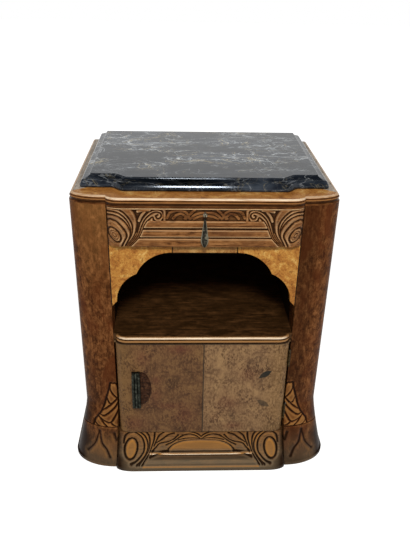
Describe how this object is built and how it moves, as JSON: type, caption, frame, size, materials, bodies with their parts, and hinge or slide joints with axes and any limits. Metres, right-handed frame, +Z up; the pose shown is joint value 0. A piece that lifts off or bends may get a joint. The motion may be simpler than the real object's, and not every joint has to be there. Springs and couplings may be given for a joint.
{
  "type": "bedside cupboard",
  "caption": "Veneered bedside cupboard with a moulded marble top, a carved drawer with a drop pull, an open niche under a stepped arch and a hinged cupboard door.",
  "frame": {"origin": "middle of the footprint on the floor, under the centre of the bounding box", "axes": "+X to the right seen from the front, the front faces -Y, +Z up"},
  "size_m": [0.56, 0.41, 0.645],
  "materials": {
    "black_marble": "polished black marble with pale grey and golden veins",
    "walnut_veneer": "aged reddish walnut veneer, worn shellac",
    "carved_walnut": "carved solid walnut, dark in the grooves and rubbed on the ridges",
    "walnut_burl": "golden burl veneer",
    "door_veneer": "mottled burl veneer, book matched, dulled",
    "stained_walnut": "dark stained, straight grain",
    "poplar": "plain sawn softwood, aged",
    "bronze": "cast bronze with a dark green-grey patina",
    "brass": "dulled brass",
    "steel": "dull steel"
  },
  "bodies": {
    "carcass": {"marble_top": "black_marble", "top_board": "poplar", "top_frame": "walnut_veneer", "left_side_panel": "walnut_veneer", "right_side_panel": "walnut_veneer", "left_cheek": "stained_walnut", "right_cheek": "stained_walnut", "left_core_rails": "poplar", "right_core_rails": "poplar", "left_pilaster": "walnut_veneer", "right_pilaster": "walnut_veneer", "left_foot": "walnut_veneer", "right_foot": "walnut_veneer", "left_side_base": "walnut_veneer", "right_side_base": "walnut_veneer", "plinth_front": "carved_walnut", "plinth_back": "poplar", "glue_blocks": "poplar", "bottom_board": "stained_walnut", "shelf": "stained_walnut", "dust_board": "poplar", "left_spandrel": "walnut_burl", "apron_strip": "walnut_burl", "right_spandrel": "walnut_burl", "back_panel": "poplar", "back_screws": "steel", "drawer_kickers": "poplar", "drawer_stops": "poplar", "door_stop": "poplar", "upper_hinge_frame_leaf": "brass", "upper_hinge_pin": "steel", "lower_hinge_frame_leaf": "brass", "lower_hinge_pin": "steel", "hinge_frame_screws": "steel", "catch_strike": "brass", "catch_screws": "steel"},
    "drawer": {"drawer_front": "carved_walnut", "drawer_left_side": "poplar", "drawer_right_side": "poplar", "drawer_back": "poplar", "drawer_bottom": "poplar", "pull_post": "bronze", "pull_nut": "steel", "pull_pin": "bronze"},
    "drop_pull": {"pull_drop": "bronze"},
    "door": {"door_core": "door_veneer", "door_left_veneer": "door_veneer", "door_right_veneer": "door_veneer", "door_pull_plate": "bronze", "door_pull_bar": "bronze", "door_pull_screws": "steel", "upper_hinge_door_leaf": "brass", "lower_hinge_door_leaf": "brass", "hinge_door_screws": "steel", "catch_barrel": "brass", "catch_spring": "steel"},
    "catch_ball_body": {"catch_ball": "steel"}
  },
  "joints": [
    {"name": "drawer_slide", "type": "slide", "parent": "carcass", "child": "drawer", "axis": [0, -1, 0], "range_m": [0, 0.24]},
    {"name": "drop_pull_swing", "type": "hinge", "parent": "drawer", "child": "drop_pull", "pos_m": [-0.002, -0.184, 0.5995], "axis": [-1, 0, 0], "range_deg": [-4, 85]},
    {"name": "door_hinge", "type": "hinge", "parent": "carcass", "child": "door", "pos_m": [0.178, -0.167, 0.2], "axis": [0, 0, 1], "range_deg": [0, 100]},
    {"name": "catch_ball_press", "type": "slide", "parent": "door", "child": "catch_ball_body", "axis": [0, 0, -1], "range_m": [0, 0.0012], "stiffness_N_per_m": 400, "springref_m": -0.004, "deforming": ["catch_spring"]}
  ]
}
